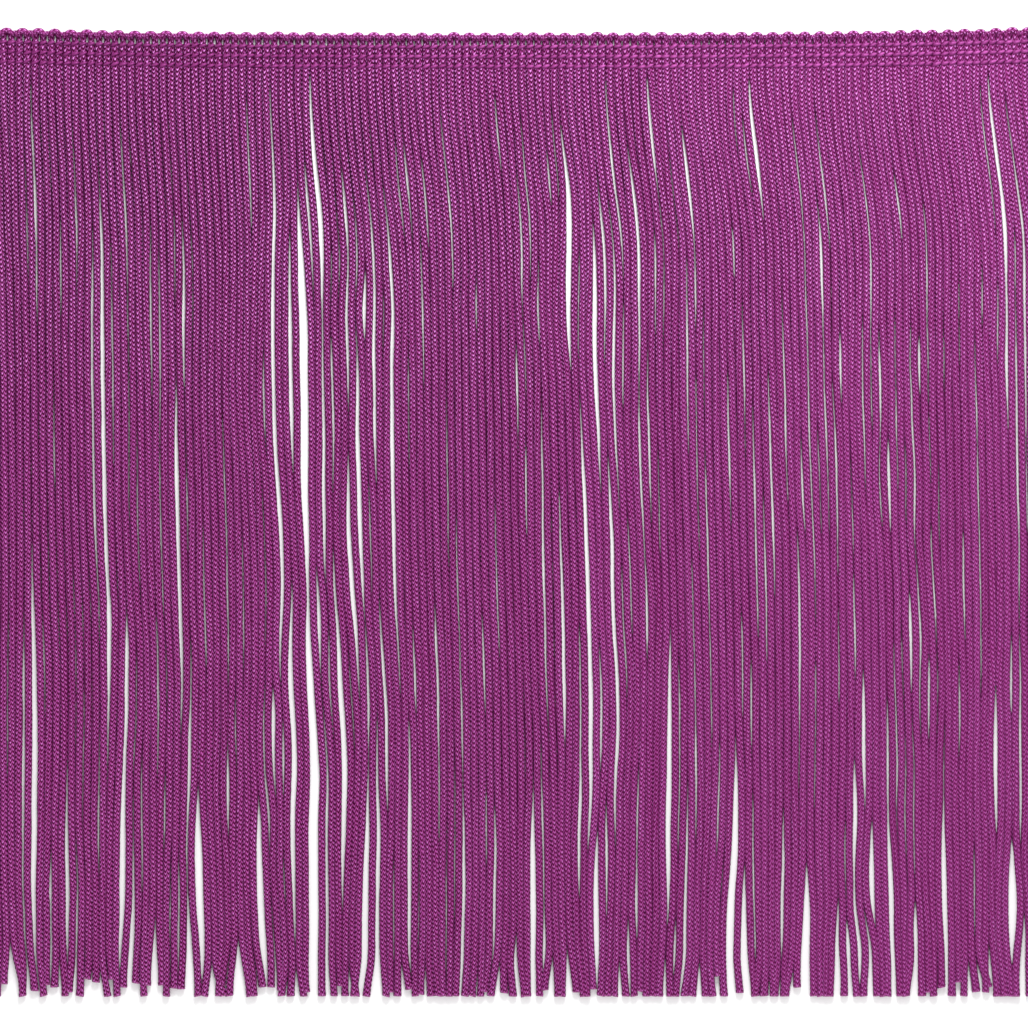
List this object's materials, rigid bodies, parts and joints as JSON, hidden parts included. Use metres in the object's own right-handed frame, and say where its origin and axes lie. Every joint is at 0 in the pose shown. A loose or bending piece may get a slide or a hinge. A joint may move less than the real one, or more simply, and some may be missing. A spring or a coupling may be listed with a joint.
{
  "type": "chainette fringe trim",
  "caption": "Cut length of fringe trim laid flat: many fine knitted cords side by side, held by a narrow stitched heading with a looped upper edge.",
  "frame": {"origin": "middle of the laid-out trim, on the surface that its back lies on", "axes": "+X along the heading, +Y from the cut ends up to the heading, +Z out of the front face"},
  "size_m": [0.3406, 0.3054, 0.0025],
  "materials": {
    "cord": "silky knitted cord, purple-magenta",
    "stitching": "smooth sewing thread, lighter purple-magenta"
  },
  "bodies": {
    "root": {"fringe": "cord", "heading": "cord", "stitch_row_1": "stitching", "stitch_row_2": "stitching", "stitch_row_3": "stitching"}
  },
  "joints": []
}
